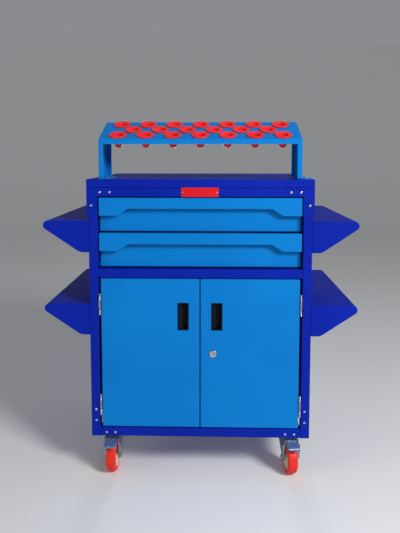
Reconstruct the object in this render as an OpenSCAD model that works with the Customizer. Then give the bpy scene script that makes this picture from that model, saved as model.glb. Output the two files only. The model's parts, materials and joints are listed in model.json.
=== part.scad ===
// Tool-holder trolley: a sheet-steel cabinet with two drawers, two doors, four side
// shelves, a tilted rack of tool sockets and four castors.
// Front faces -Y, +Z is up, origin on the floor at the centre of the footprint.

/* [Cabinet] */
// Width over the four corner posts
cab_w = 690; // [600:5:800]
// Depth of the cabinet, front rim to back rim
cab_d = 550; // [500:5:650]
// Height of the worktop above the floor
top_z = 950; // [900:5:1000]
// Height of the cabinet's underside above the floor
base_z = 132; // [132:1:140]
// Worktop overhang past the posts on each side
cover_over = 5; // [4:1:10]
// Depth of the worktop's folded rim
cover_rim = 25; // [20:1:30]
// Side of the square corner posts
post = 28; // [25:1:32]
// Sheet thickness of the frame and worktop
sheet = 2; // [1.5:0.5:2.5]
// Sheet thickness of panels, drawers and doors
skin = 1.5; // [1:0.5:2]

/* [Drawers] */
// Height of the upper drawer front
drawer_h1 = 105; // [100:1:106]
// Height of the lower drawer front
drawer_h2 = 106.5; // [100:0.5:108]
// Gap above and between the drawer fronts
drawer_gap = 5; // [4:0.5:6]
// How far each drawer front's panel sits behind its handle band
band_depth = 19; // [16:1:22]
// Length of the drawer slides
slide_len = 500; // [450:10:500]

/* [Doors] */
// Height of each door
door_h = 477; // [460:1:477]
// Width of each door
door_w = 308; // [300:1:308]
// Thickness of each door
door_t = 20; // [18:1:22]
// Length of a hinge
hinge_len = 68; // [60:1:80]

/* [Side shelves] */
// How far a side shelf stands out
wing_out = 142; // [120:1:150]
// Height of a side shelf's end flange
wing_h = 98; // [90:1:105]

/* [Tool rack] */
// Width of the tool rack
rack_w = 625; // [600:5:640]
// Depth of the tool rack's legs
rack_d = 141; // [135:1:150]
// Height of the rack plate's front edge above the worktop
rack_front = 122; // [110:1:130]
// Height of the rack plate's back edge above the worktop
rack_back = 182; // [160:1:190]
// Pitch of the sockets along a row
socket_pitch = 85.2; // [80:0.2:86]
// Pitch of the three rows along the slope
row_pitch = 46; // [44:1:47]
// Radius of a socket's cylindrical mouth
mouth_r = 16; // [15:0.5:17]

/* [Castors] */
// Radius of a castor wheel
wheel_r = 50; // [48:1:50]
// Width of a castor tyre
wheel_w = 32; // [30:1:32]
// Distance of the wheel from its swivel axis
trail = 30; // [25:1:32]
// Sideways place of the swivel axes
castor_x = 285; // [270:1:290]
// Angle by which the front right castor is turned
right_turn = 8; // [0:1:15]

/* [Hidden] */
$fn = 48;
dark_blue = "#0a2fb4";
light_blue = "#1487e0";
red = "#e8302c";
zinc = "#b9bec6";

// frame planes
pedal_out = 20;
front_y = -(cab_d + pedal_out) / 2 + pedal_out;
back_y = front_y + cab_d;
face_y = front_y + sheet;
rear_y = back_y - sheet;
half_w = cab_w / 2;
cover_x = half_w + cover_over;
inner_x = half_w - post;
post_top = top_z - sheet;
rim_z = top_z - cover_rim;
rail_h = 28;
lug_w = 34;
lug_z = rim_z - 88;
lug_back = 20;

// drawers, from the top down
front_x = inner_x - 4;
drawer_z1 = rim_z - rail_h - drawer_gap + 1 - drawer_h1;
drawer_z2 = drawer_z1 - drawer_gap - drawer_h2;
panel_y = face_y + band_depth;
band_mid = 34;
band_end = 55.5;
band_lug = 58;
band_slope = 33;
slide_h = 45;
slide_gap = 13;
box_x = inner_x - slide_gap;
box_h = 80;
slide_y = panel_y + 4;
middle_z = 671;
rail_lip = 23;

// doors
door_z = base_z + rail_h + 3.5;
door_gap = 1.5;
pin_x = inner_x - 3.75;
pin_y = face_y - 1.5;
knuckle_r = 3.3;
pin_r = 1.5;
running = 0.05;
hinge_zs = [top_z - 713.5, top_z - 390.5];
knuckle = hinge_len / 3;
pull_w = 35;
pull_h = 87.5;
pull_x = 35;
pull_z = top_z - 472;
lock_x = 40.7;
lock_z = top_z - 547;
rosette_r = 11;
barrel_r = 6.5;
barrel_len = 25;

// side shelves
wing_zs = [top_z - 128.5, top_z - 390];
nose_r = 14;
wing_slope = 34;
wing_fillet = 36;

// tool rack
rack_y = front_y + 10;
rack_x = rack_w / 2;
rack_tilt = atan((rack_back - rack_front) / rack_d);
rack_lip = 15;
foot_w = 35;
row_start = 31;
socket_r = 22;
socket_deep = 40;
flange_r = 27.5;
flange_t = 4;

// castors
castor_ys = [front_y + 70, back_y - 90];
plate_t = 3;
pedal_w = 36.4;
pedal_tip = (90 - pedal_w / 2 * sin(right_turn)) / cos(right_turn);
axle_r = 6;
swivel_r = 6;
hub_r = 36;
leg_in = 20.5;
leg_t = 2.5;
crown_z = base_z - 20;

// a box from its low corner to its high corner
module slab(a, b) {
    translate(a) cube(b - a);
}

module both_sides() {
    children();
    mirror([1, 0, 0]) children();
}

// an outline in X and Z, extruded from y to y + t
module plate_xz(points, y, t) {
    translate([0, y + t, 0]) rotate([90, 0, 0]) linear_extrude(t) polygon(points);
}

// an outline in Y and Z, extruded from x to x + t
module plate_yz(points, x, t) {
    translate([x, 0, 0]) rotate([90, 0, 90]) linear_extrude(t) polygon(points);
}

// a cylinder along Y from y to y + l
module rod_y(x, y, z, r, l) {
    translate([x, y + l, z]) rotate([90, 0, 0]) cylinder(r = r, h = l);
}

// a cylinder along X, centred on x = 0
module rod_x(y, z, r, l) {
    translate([-l / 2, y, z]) rotate([0, 90, 0]) cylinder(r = r, h = l);
}

function arc(cx, cy, r, a0, a1, n) =
    [for (i = [0 : n]) [cx + r * cos(a0 + (a1 - a0) * i / n), cy + r * sin(a0 + (a1 - a0) * i / n)]];

// ---- fixed frame ----

module top_cover() {
    color(dark_blue) difference() {
        slab([-cover_x, front_y, rim_z], [cover_x, back_y, top_z]);
        slab([-cover_x + sheet, face_y, rim_z - 1], [cover_x - sheet, rear_y, post_top]);
    }
}

module top_rail() {
    outline = [[-cover_x, rim_z], [-cover_x, lug_z], [lug_w - cover_x, lug_z],
        [lug_w - cover_x, rim_z - rail_h], [cover_x - lug_w, rim_z - rail_h],
        [cover_x - lug_w, lug_z], [cover_x, lug_z], [cover_x, rim_z]];
    lip_x = inner_x - 1;
    color(dark_blue) {
        plate_xz(outline, front_y, sheet);
        both_sides() slab([cover_x - sheet, face_y - 0.5, lug_z], [cover_x, face_y + lug_back, rim_z]);
        slab([-lip_x, face_y - 0.5, rim_z - rail_h], [lip_x, face_y + 18, rim_z - rail_h + sheet]);
    }
}

// a channel between the posts with its web to the front, from z0 to z1
module channel(z0, z1) {
    slab([-inner_x, face_y, z0], [inner_x, face_y + sheet, z1]);
    for (z = [z0, z1 - sheet])
        slab([-inner_x, face_y, z], [inner_x, face_y + sheet + rail_lip, z + sheet]);
}

module middle_rail() {
    color(dark_blue) channel(middle_z - rail_h, middle_z);
}

module bottom_rail() {
    color(dark_blue) channel(base_z, base_z + rail_h);
}

module post_pair(y) {
    both_sides() difference() {
        slab([inner_x, y, base_z], [half_w, y + post, post_top]);
        slab([inner_x + skin, y + skin, base_z - 1], [half_w - skin, y + post - skin, post_top + 1]);
    }
}

module front_posts() {
    color(dark_blue) post_pair(face_y);
}

module rear_posts() {
    color(dark_blue) post_pair(rear_y - post);
}

module side_panel() {
    slab([half_w - skin, face_y + post, base_z], [half_w, rear_y - post, post_top]);
}

module left_side_panel() {
    color(dark_blue) mirror([1, 0, 0]) side_panel();
}

module right_side_panel() {
    color(dark_blue) side_panel();
}

module back_panel() {
    color(dark_blue) slab([-inner_x, rear_y - skin, base_z + sheet], [inner_x, rear_y, post_top]);
}

// a flat deck between the posts, behind a rail's lip, with its top at z
module deck(z, t) {
    slab([-inner_x, face_y + sheet + rail_lip, z - t], [inner_x, rear_y - skin, z]);
}

module base_pan() {
    color(dark_blue) deck(base_z + sheet, sheet);
}

module cupboard_floor() {
    color(dark_blue) deck(base_z + rail_h, skin);
}

module drawer_deck() {
    color(dark_blue) deck(middle_z, skin);
}

// ---- side shelves: a closed top with bent-down ends, open underneath ----

function wing_outline(z) =
    let (nose_x = half_w + wing_out - nose_r,
        end_x = nose_x + nose_r * cos(wing_slope - 90),
        end_z = z - nose_r + nose_r * sin(wing_slope - 90),
        foot_x = end_x - (end_z - z + wing_h) / tan(wing_slope),
        fillet_x = foot_x - wing_fillet * tan(wing_slope / 2),
        fillet_z = z - wing_h + wing_fillet)
    concat([[half_w, z]], arc(nose_x, z - nose_r, nose_r, 90, wing_slope - 90, 12),
        arc(fillet_x, fillet_z, wing_fillet, wing_slope - 90, -90, 6), [[half_w, z - wing_h]]);

module wing(z) {
    edge = half_w + wing_out - nose_r;
    slab([half_w, face_y, z - skin], [edge, rear_y, z]);
    slab([half_w, face_y, z - wing_h], [half_w + skin, rear_y, z]);
    for (y = [face_y, rear_y - skin])
        plate_xz(wing_outline(z), y, skin);
    // the rolled outer edge
    translate([0, rear_y, 0]) rotate([90, 0, 0]) linear_extrude(rear_y - face_y)
        polygon(concat(arc(edge, z - nose_r, nose_r, 90, -10, 10),
            arc(edge, z - nose_r, nose_r - skin, -10, 90, 10)));
}

module upper_left_shelf() {
    color(dark_blue) mirror([1, 0, 0]) wing(wing_zs[0]);
}

module lower_left_shelf() {
    color(dark_blue) mirror([1, 0, 0]) wing(wing_zs[1]);
}

module upper_right_shelf() {
    color(dark_blue) wing(wing_zs[0]);
}

module lower_right_shelf() {
    color(dark_blue) wing(wing_zs[1]);
}

// ---- tool rack ----

// moves its children onto the rack plate: x across, s up the slope, axis square to it
module on_rack(x, s) {
    translate([x, rack_y, top_z + rack_front]) rotate([rack_tilt, 0, 0]) translate([0, s, 0]) children();
}

// the socket places: seven, six and seven, staggered by half a pitch
sockets = [for (row = [0 : 2], i = [0 : (row == 1 ? 5 : 6)])
    [(i - (row == 1 ? 2.5 : 3)) * socket_pitch, row_start + row * row_pitch]];

// a socket at one of the rack's four corners
function at_corner(p) = abs(p[0]) > 2.9 * socket_pitch;

// side outline of the rack, its sloping top lowered by drop, from y0 to y1 behind its front
function rack_side(y0, y1, drop) =
    [[rack_y + y0, top_z - (drop > 0 ? 1 : 0)], [rack_y + y1, top_z - (drop > 0 ? 1 : 0)],
        [rack_y + y1, top_z + rack_front + y1 * tan(rack_tilt) - drop],
        [rack_y + y0, top_z + rack_front + y0 * tan(rack_tilt) - drop]];

module tool_rack() {
    inside_x = rack_x - sheet;
    window_x = rack_x - rack_lip;
    color(light_blue) {
        difference() {
            plate_yz(rack_side(0, rack_d, 0), -rack_x, rack_w);
            plate_yz(rack_side(sheet, rack_d - sheet, sheet / cos(rack_tilt)), -inside_x, 2 * inside_x);
            slab([-window_x, rack_y - 1, top_z - 1], [window_x, rack_y + sheet + 1, top_z + rack_front - rack_lip]);
            slab([-window_x, rack_y + rack_d - sheet - 1, top_z - 1],
                [window_x, rack_y + rack_d + 1, top_z + rack_back - rack_lip]);
            for (p = sockets)
                on_rack(p[0], p[1]) translate([0, 0, -sheet - 2]) cylinder(r = socket_r, h = sheet + 4);
        }
        for (x = [-rack_x, rack_x - sheet])
            slab([x, rack_y + 5, top_z], [x + foot_w, rack_y + rack_d - 5, top_z + sheet]);
    }
}

// a moulded socket: flange on the plate, cylindrical land at the mouth, then a taper
module socket() {
    end_r = 12;
    wall = 3;
    outside = concat([[0, -socket_deep], [end_r - 6, -socket_deep]],
        arc(end_r - 6, 6 - socket_deep, 6, -90, -15, 5),
        [[socket_r, -4], [socket_r, 0], [flange_r, 0], [flange_r, flange_t - 1], [flange_r - 1, flange_t]]);
    inside = [[mouth_r, flange_t], [mouth_r, 0.2], [end_r - wall, 6 - socket_deep], [0, wall + 2 - socket_deep]];
    rotate_extrude() polygon(concat(outside, inside));
}

module corner_sockets() {
    color(red) for (p = sockets)
        if (at_corner(p))
            on_rack(p[0], p[1]) socket();
}

module tool_sockets() {
    color(red) for (p = sockets)
        if (!at_corner(p))
            on_rack(p[0], p[1]) socket();
}

// ---- small fixed pieces ----

module blank_plate() {
    z1 = rim_z;
    color(red) plate_xz([[-57.5, z1 - 29.5], [57.5, z1 - 29.5], [57.5, z1], [-57.5, z1]], front_y - 1.5, 1.5);
}

// a pan head along +Z, standing on z = 0
module pan_head(r) {
    rotate_extrude() polygon(concat([[0, 0], [r, 0], [r, 0.6]], arc(r - 1.4, 0.6, 1.4, 0, 90, 4), [[0, 2]]));
}

module head_front(x, y, z, r) {
    translate([x, y, z]) rotate([90, 0, 0]) pan_head(r);
}

module hex_head(x, y, z, r, h) {
    translate([x, y, z]) cylinder(r = r, h = h, $fn = 6);
}

module frame_screws() {
    head_r = 4.6;
    rivet_r = 2.2;
    bolt_r = 6;
    bolt_h = 4;
    color(zinc) {
        both_sides() {
            for (x = [278, 308])
                head_front(x, front_y, top_z - 40, head_r);
            head_front(335, front_y, top_z - 80.5, head_r);
            for (z = [183, 219])
                head_front(half_w - 16, face_y, z, head_r);
            for (x = [269, 297])
                head_front(x, face_y, base_z + 12, head_r);
            head_front(52, front_y - 1.5, rim_z - 14.7, rivet_r);
            for (z = [200, 400, 620, 840])
                translate([half_w - 14, rear_y, z]) rotate([-90, 0, 0]) pan_head(head_r);
            for (cy = castor_ys, dx = [-28, 28], dy = [-37.5, 37.5])
                hex_head(castor_x + dx, cy + dy, base_z - plate_t - bolt_h, bolt_r, bolt_h);
        }
        for (x = [-rack_x + 20, rack_x + 16], y = [rack_y + 25, rack_y + rack_d - 25])
            hex_head(x, y, top_z + sheet, bolt_r, bolt_h);
    }
}

module slide_outer_rails() {
    color(zinc) both_sides() for (z = [drawer_z1, drawer_z2])
        slab([inner_x - 4, slide_y, z + 24], [inner_x, slide_y + slide_len, z + 24 + slide_h]);
}

module door_catch() {
    color("#303236") slab([-30, pin_y + door_t + 2, middle_z - rail_h - 15], [30, pin_y + door_t + 19, middle_z - rail_h]);
}

// ---- drawers ----

module drawer_box(z) {
    z0 = z + 10;
    y1 = slide_y + slide_len - 5;
    difference() {
        slab([-box_x, panel_y + skin, z0], [box_x, y1, z0 + box_h]);
        slab([-box_x + skin, panel_y + 2 * skin, z0 + skin], [box_x - skin, y1 - skin, z0 + box_h + 1]);
    }
}

module drawer_front(z, h) {
    z1 = z + h;
    low = z1 - band_end;
    mid = z1 - band_mid;
    end_x = front_x - band_lug;
    mid_x = end_x - band_slope;
    band = [[-front_x, z1], [-front_x, low], [-end_x, low], [-mid_x, mid], [mid_x, mid],
        [end_x, low], [front_x, low], [front_x, z1]];
    plate_xz(band, face_y, skin);
    slab([-front_x, face_y, z1 - skin], [front_x, panel_y + skin, z1]);
    slab([-front_x, panel_y, z], [front_x, panel_y + skin, z1]);
    both_sides() slab([front_x - skin, face_y, low], [front_x, panel_y + skin, z1]);
}

// a pair of slide members, x0 and x1 counted inwards from the post
module slide_pair(z, x0, x1, h) {
    both_sides() slab([inner_x - x1, slide_y, z + 24 + (slide_h - h) / 2],
        [inner_x - x0, slide_y + slide_len - 5, z + 24 + (slide_h + h) / 2]);
}

module upper_drawer_box() {
    color(light_blue) drawer_box(drawer_z1);
}

module lower_drawer_box() {
    color(light_blue) drawer_box(drawer_z2);
}

module upper_drawer_front() {
    color(light_blue) drawer_front(drawer_z1, drawer_h1);
}

module lower_drawer_front() {
    color(light_blue) drawer_front(drawer_z2, drawer_h2);
}

module upper_slide_middles() {
    color(zinc) slide_pair(drawer_z1, 4.4, 8.6, 36);
}

module lower_slide_middles() {
    color(zinc) slide_pair(drawer_z2, 4.4, 8.6, 36);
}

module upper_slide_inners() {
    color(zinc) slide_pair(drawer_z1, 9, slide_gap, 28);
}

module lower_slide_inners() {
    color(zinc) slide_pair(drawer_z2, 9, slide_gap, 28);
}

// ---- doors, drawn for the right-hand side ----

// a pan door: skin, folded edges and a return lip, with a slot for the pull
module door_pan(lock) {
    x0 = door_gap;
    x1 = door_gap + door_w;
    z1 = door_z + door_h;
    lip = 15;
    difference() {
        slab([x0, face_y, door_z], [x1, face_y + door_t, z1]);
        slab([x0 + skin, face_y + skin, door_z + skin], [x1 - skin, face_y + door_t - skin, z1 - skin]);
        slab([x0 + lip, face_y + door_t - skin - 1, door_z + lip], [x1 - lip, face_y + door_t + 1, z1 - lip]);
        slab([pull_x + 2, face_y - 1, pull_z + 2], [pull_x + pull_w - 2, face_y + skin + 1, pull_z + pull_h - 2]);
        if (lock)
            rod_y(lock_x, face_y - 1, lock_z, 9, skin + 2);
    }
}

// a recessed pull: thin bezel on the skin and a closed pocket behind it
module door_pull() {
    wall = 1.5;
    x1 = pull_x + pull_w;
    z1 = pull_z + pull_h;
    deep = 16;
    color("#14161c") difference() {
        union() {
            slab([pull_x, face_y - 1, pull_z], [x1, face_y, z1]);
            slab([pull_x + 2, face_y - 1, pull_z + 2], [x1 - 2, face_y + deep, z1 - 2]);
        }
        slab([pull_x + 2 + wall, face_y - 2, pull_z + 2 + wall], [x1 - 2 - wall, face_y + deep - wall, z1 - 2 - wall]);
    }
}

// door side of a hinge: outer knuckles and a leaf cleared round the frame's knuckle
module door_hinge(z) {
    z0 = z - hinge_len / 2;
    leaf_x = door_gap + door_w;
    difference() {
        union() {
            for (k = [0, 2])
                translate([pin_x, pin_y, z0 + k * knuckle]) cylinder(r = knuckle_r, h = knuckle - 0.2 + k * 0.1);
            slab([leaf_x, pin_y, z0], [leaf_x + skin, face_y + door_t - 2, z0 + hinge_len]);
        }
        translate([pin_x, pin_y, z0 - 1]) cylinder(r = pin_r + running, h = hinge_len + 2);
        slab([leaf_x - 1, pin_y - 4, z0 + knuckle - 0.2], [pin_x + 4, pin_y + 4, z0 + 2 * knuckle + 0.2]);
    }
}

// frame side of a hinge: middle knuckle, pin and a leaf on the post
module frame_hinge(z) {
    z0 = z - hinge_len / 2;
    difference() {
        slab([inner_x - skin, pin_y, z0], [inner_x, face_y + door_t, z0 + hinge_len]);
        for (k = [0, 2])
            slab([pin_x - 4, pin_y - 1, z0 + k * (knuckle - 0.2) - 0.5],
                [inner_x + 1, pin_y + 4, z0 + k * (knuckle - 0.2) + knuckle + 0.7]);
    }
    translate([pin_x, pin_y, z0 + knuckle + 0.1]) cylinder(r = knuckle_r, h = knuckle - 0.2);
    translate([pin_x, pin_y, z0]) cylinder(r = pin_r, h = hinge_len);
}

module frame_hinge_leaves() {
    color(zinc) both_sides() for (z = hinge_zs)
        frame_hinge(z);
}

module left_door() {
    color(light_blue) mirror([1, 0, 0]) door_pan(false);
}

module right_door() {
    color(light_blue) door_pan(true);
}

module left_door_pull() {
    mirror([1, 0, 0]) door_pull();
}

module right_door_pull() {
    door_pull();
}

module left_door_hinges() {
    color(zinc) mirror([1, 0, 0]) for (z = hinge_zs)
        door_hinge(z);
}

module right_door_hinges() {
    color(zinc) for (z = hinge_zs)
        door_hinge(z);
}

// ---- cam lock in the right door ----

module lock_body() {
    color(zinc) difference() {
        union() {
            rod_y(lock_x, face_y - 2.5, lock_z, rosette_r, 2.5);
            rod_y(lock_x, face_y - 2.5, lock_z, 9, 20);
        }
        rod_y(lock_x, face_y - 4, lock_z, barrel_r + running, 30);
    }
}

module lock_barrel() {
    color("#d0d3d8") difference() {
        rod_y(lock_x, face_y - 3, lock_z, barrel_r, barrel_len);
        translate([lock_x, face_y - 3, lock_z]) rotate([0, 45, 0]) cube([1.6, 6, 9], center = true);
    }
}

module lock_cam() {
    cam_y = face_y - 3 + barrel_len;
    color(zinc) {
        rod_y(lock_x, cam_y, lock_z, 8, 2);
        slab([lock_x - 6, cam_y, lock_z - 30], [lock_x + 6, cam_y + 2, lock_z]);
    }
}

// ---- castors, drawn about the swivel axis with the wheel towards -Y ----

module castor_at(x, row, turn) {
    translate([x, castor_ys[row], 0]) rotate([0, 0, turn]) children();
}

module castor_plates() {
    pin_z = crown_z - 6;
    color(zinc) for (x = [-castor_x, castor_x], y = castor_ys) translate([x, y, 0]) {
        slab([-37.5, -47.5, base_z - plate_t], [37.5, 47.5, base_z]);
        translate([0, 0, crown_z + 6.3]) cylinder(r1 = 30, r2 = 33, h = base_z - plate_t - crown_z - 6.3);
        translate([0, 0, pin_z]) cylinder(r = swivel_r, h = base_z - pin_z - 1);
        translate([0, 0, pin_z]) cylinder(r = 10, h = 5.7);
    }
}

module fork(brake) {
    crown_top = crown_z + 6;
    front = brake ? -(trail + 24) : -(trail + 6);
    leg = concat([[26, crown_top], [26, crown_top - 8]],
        arc(-trail, wheel_r, 12, 20, -200, 12),
        [[front + 4, crown_top - 14], [front, crown_top - 8], [front, crown_top]]);
    color(zinc) difference() {
        union() {
            for (x = [-leg_in - leg_t, leg_in])
                plate_yz(leg, x, leg_t);
            translate([0, 0, crown_z]) cylinder(r = 28, h = 6);
            slab([-leg_in - leg_t, -24, crown_z], [leg_in + leg_t, 26, crown_top]);
            if (brake)
                rod_x(-(trail + 18), crown_z - 2, 3, 2 * leg_in + 2 * leg_t + 4);
        }
        translate([0, 0, crown_z - 1]) cylinder(r = swivel_r + running, h = 8);
        rod_x(-trail, wheel_r, axle_r + running, 2 * leg_in + 2 * leg_t + 2);
    }
}

module axle() {
    reach = leg_in + leg_t;
    color(zinc) {
        rod_x(-trail, wheel_r, axle_r, 2 * reach + 4);
        translate([reach, -trail, wheel_r]) rotate([0, 90, 0]) cylinder(r = 10, h = 5, $fn = 6);
        translate([-reach - 5, -trail, wheel_r]) rotate([0, 90, 0]) cylinder(r = 10, h = 5, $fn = 6);
    }
}

module hub() {
    rim = hub_r;
    half = wheel_w / 2;
    profile = [[axle_r + running, -half - 1.7], [12, -half - 1.7], [12, -8], [rim - 6, -8], [rim - 3, -half + 1],
        [rim, -half + 1], [rim, half - 1], [rim - 3, half - 1], [rim - 6, 8], [12, 8], [12, half + 1.7],
        [axle_r + running, half + 1.7]];
    color("#e9dfc8") translate([0, -trail, wheel_r]) rotate([0, 90, 0]) rotate_extrude() polygon(profile);
}

module tyre() {
    half = wheel_w / 2;
    edge = 5;
    profile = concat([[hub_r, -half], [wheel_r - edge, -half]], arc(wheel_r - edge, edge - half, edge, -90, 0, 5),
        arc(wheel_r - edge, half - edge, edge, 0, 90, 5), [[hub_r, half]]);
    color(red) translate([0, -trail, wheel_r]) rotate([0, 90, 0]) rotate_extrude($fn = 72) polygon(profile);
}

// a stamped brake pedal that turns on the fork's cross pin and presses a shoe on the tyre
module pedal() {
    pin = [-(trail + 18), crown_z - 2];
    half = pedal_w / 2;
    tread = [[pin[0] + 4, 117.5], [-pedal_tip, 107], [-pedal_tip, 97], [3 - pedal_tip, 97], [3 - pedal_tip, 103.8],
        [pin[0] + 4, 114.5]];
    cheek = [[pin[0] + 4, 116], [3 - pedal_tip, 104], [pin[0] - 8, 97], [pin[0] - 2, 103], [pin[0] + 4, 106]];
    color("#8fa0bd") difference() {
        union() {
            plate_yz(tread, -half, pedal_w);
            for (x = [-half, half - 2.5])
                plate_yz(cheek, x, 2.5);
            rod_x(pin[0], pin[1], 5, pedal_w);
            slab([-12, pin[0] - 13, 98], [12, pin[0] - 3, 112]);
        }
        rod_x(pin[0], pin[1], 3 + running, pedal_w + 2);
    }
}

module front_left_fork() {
    castor_at(-castor_x, 0, 0) fork(true);
}

module front_left_axle() {
    castor_at(-castor_x, 0, 0) axle();
}

module front_left_hub() {
    castor_at(-castor_x, 0, 0) hub();
}

module front_left_tyre() {
    castor_at(-castor_x, 0, 0) tyre();
}

module front_left_pedal() {
    castor_at(-castor_x, 0, 0) pedal();
}

module front_right_fork() {
    castor_at(castor_x, 0, right_turn) fork(true);
}

module front_right_axle() {
    castor_at(castor_x, 0, right_turn) axle();
}

module front_right_hub() {
    castor_at(castor_x, 0, right_turn) hub();
}

module front_right_tyre() {
    castor_at(castor_x, 0, right_turn) tyre();
}

module front_right_pedal() {
    castor_at(castor_x, 0, right_turn) pedal();
}

module rear_left_fork() {
    castor_at(-castor_x, 1, 0) fork(false);
}

module rear_left_axle() {
    castor_at(-castor_x, 1, 0) axle();
}

module rear_left_hub() {
    castor_at(-castor_x, 1, 0) hub();
}

module rear_left_tyre() {
    castor_at(-castor_x, 1, 0) tyre();
}

module rear_right_fork() {
    castor_at(castor_x, 1, 0) fork(false);
}

module rear_right_axle() {
    castor_at(castor_x, 1, 0) axle();
}

module rear_right_hub() {
    castor_at(castor_x, 1, 0) hub();
}

module rear_right_tyre() {
    castor_at(castor_x, 1, 0) tyre();
}

top_cover();
top_rail();
middle_rail();
bottom_rail();
front_posts();
rear_posts();
left_side_panel();
right_side_panel();
back_panel();
base_pan();
cupboard_floor();
drawer_deck();
upper_left_shelf();
lower_left_shelf();
upper_right_shelf();
lower_right_shelf();
tool_rack();
corner_sockets();
tool_sockets();
blank_plate();
frame_screws();
slide_outer_rails();
frame_hinge_leaves();
castor_plates();
door_catch();
upper_drawer_box();
upper_drawer_front();
upper_slide_inners();
upper_slide_middles();
lower_drawer_box();
lower_drawer_front();
lower_slide_inners();
lower_slide_middles();
left_door();
left_door_pull();
left_door_hinges();
right_door();
right_door_pull();
right_door_hinges();
lock_body();
lock_barrel();
lock_cam();
front_left_fork();
front_left_axle();
front_left_hub();
front_left_tyre();
front_left_pedal();
front_right_fork();
front_right_axle();
front_right_hub();
front_right_tyre();
front_right_pedal();
rear_left_fork();
rear_left_axle();
rear_left_hub();
rear_left_tyre();
rear_right_fork();
rear_right_axle();
rear_right_hub();
rear_right_tyre();
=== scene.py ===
# %% [markdown]
# # A tool-holder trolley
# The design of this trolley is finished: every part has its place and size, and the moving ones
# have their joints. What is left is its look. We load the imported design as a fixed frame, give
# each part its paint, metal or plastic, and rebuild the parts whose folds, rims and rounded
# corners are what the eye reads: the folded sheets, the moulded sockets and the castors.
# All lengths are in metres, +Z is up and the drawers face -Y.

# %% Load the frame
import json
import math

import bmesh
import bpy
from mathutils import Matrix, Vector

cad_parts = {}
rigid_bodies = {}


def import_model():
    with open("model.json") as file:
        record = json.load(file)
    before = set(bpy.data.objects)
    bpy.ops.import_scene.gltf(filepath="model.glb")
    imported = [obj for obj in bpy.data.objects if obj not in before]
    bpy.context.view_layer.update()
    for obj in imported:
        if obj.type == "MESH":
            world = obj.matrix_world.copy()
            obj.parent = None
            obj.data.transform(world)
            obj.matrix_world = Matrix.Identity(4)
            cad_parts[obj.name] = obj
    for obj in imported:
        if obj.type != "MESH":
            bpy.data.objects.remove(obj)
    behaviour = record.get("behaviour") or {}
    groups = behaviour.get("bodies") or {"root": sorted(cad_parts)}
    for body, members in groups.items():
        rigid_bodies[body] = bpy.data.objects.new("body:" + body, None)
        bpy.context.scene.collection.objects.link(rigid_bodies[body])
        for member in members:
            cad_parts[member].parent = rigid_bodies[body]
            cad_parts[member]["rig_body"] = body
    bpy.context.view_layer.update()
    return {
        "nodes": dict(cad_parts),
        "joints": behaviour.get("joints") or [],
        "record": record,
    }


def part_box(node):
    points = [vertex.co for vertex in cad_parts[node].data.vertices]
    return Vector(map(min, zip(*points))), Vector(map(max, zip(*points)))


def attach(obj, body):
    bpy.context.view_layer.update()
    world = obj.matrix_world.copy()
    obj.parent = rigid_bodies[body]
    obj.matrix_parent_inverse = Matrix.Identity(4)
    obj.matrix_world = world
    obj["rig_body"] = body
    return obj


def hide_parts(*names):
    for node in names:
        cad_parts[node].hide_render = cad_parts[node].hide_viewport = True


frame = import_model()
nodes = frame["nodes"]
joints = {joint["name"]: joint for joint in frame["joints"]}
MM = 0.001

# %% [markdown]
# ## The camera
# The trolley is seen almost squarely from the front, from a little right of its middle and from
# just above its worktop. In a studio the camera is kept nearly level and its lens is moved instead
# of tipped, so that the sides of a tall cabinet stay upright. The camera's shift does the same
# here. The camera's place is counted from the front of the worktop.

# %% Place the camera
LENS = 37.9
SENSOR = 36.0
SHIFT_Y = -0.119
CAMERA_RIGHT = 0.048
CAMERA_BACK = 1.709
CAMERA_UP = 0.074
CAMERA_TILT = 4.9
CAMERA_TURN = 1.6

cover_low, cover_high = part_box("top_cover")
front_y = cover_low.y
top_z = cover_high.z

camera_data = bpy.data.cameras.new("studio camera")
camera_data.sensor_width = SENSOR
camera_data.lens = LENS
camera_data.shift_y = SHIFT_Y
camera_data.clip_end = 50.0
camera = bpy.data.objects.new("studio camera", camera_data)
camera.location = (CAMERA_RIGHT, front_y - CAMERA_BACK, top_z + CAMERA_UP)
camera.rotation_euler = (math.radians(90 - CAMERA_TILT), 0, math.radians(CAMERA_TURN))
bpy.context.scene.collection.objects.link(camera)
bpy.context.scene.camera = camera
print("camera at", tuple(round(v, 3) for v in camera.location))

# %% [markdown]
# ## Studio floor
# A plain pale floor that curves up far away on every side is enough of a studio, and it looks the
# same from every side. It is a flat disc inside a rising ring. The ring is shaded smooth, and the
# disc is kept flat, because one huge smooth face would take odd shading from the ring around it.

# %% Floor
def plain_material(name, colour, roughness):
    material = bpy.data.materials.new(name)
    material.use_nodes = True
    shader = material.node_tree.nodes["Principled BSDF"]
    shader.inputs["Base Color"].default_value = (*colour, 1)
    shader.inputs["Roughness"].default_value = roughness
    return material


floor_mesh = bpy.data.meshes.new("studio floor")
FLAT_RADIUS = 6.0
SWEEP_RADIUS = 3.0
SIDES = 64
climb = [math.radians(10 * i) for i in range(10)]
sweep = [(FLAT_RADIUS + SWEEP_RADIUS * math.sin(a), SWEEP_RADIUS - SWEEP_RADIUS * math.cos(a)) for a in climb]
around = [2 * math.pi * i / SIDES for i in range(SIDES)]
floor_points = [(radius * math.cos(a), radius * math.sin(a), z) for radius, z in sweep for a in around]
floor_faces = [tuple(range(SIDES))]
for row in range(len(sweep) - 1):
    for i in range(SIDES):
        here, beside = row * SIDES + i, row * SIDES + (i + 1) % SIDES
        floor_faces.append((beside, here, here + SIDES, beside + SIDES))
floor_mesh.from_pydata(floor_points, [], floor_faces)
floor_mesh.shade_smooth()
floor_mesh.polygons[0].use_smooth = False
studio_floor = bpy.data.objects.new("studio_floor", floor_mesh)
bpy.context.scene.collection.objects.link(studio_floor)
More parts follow.
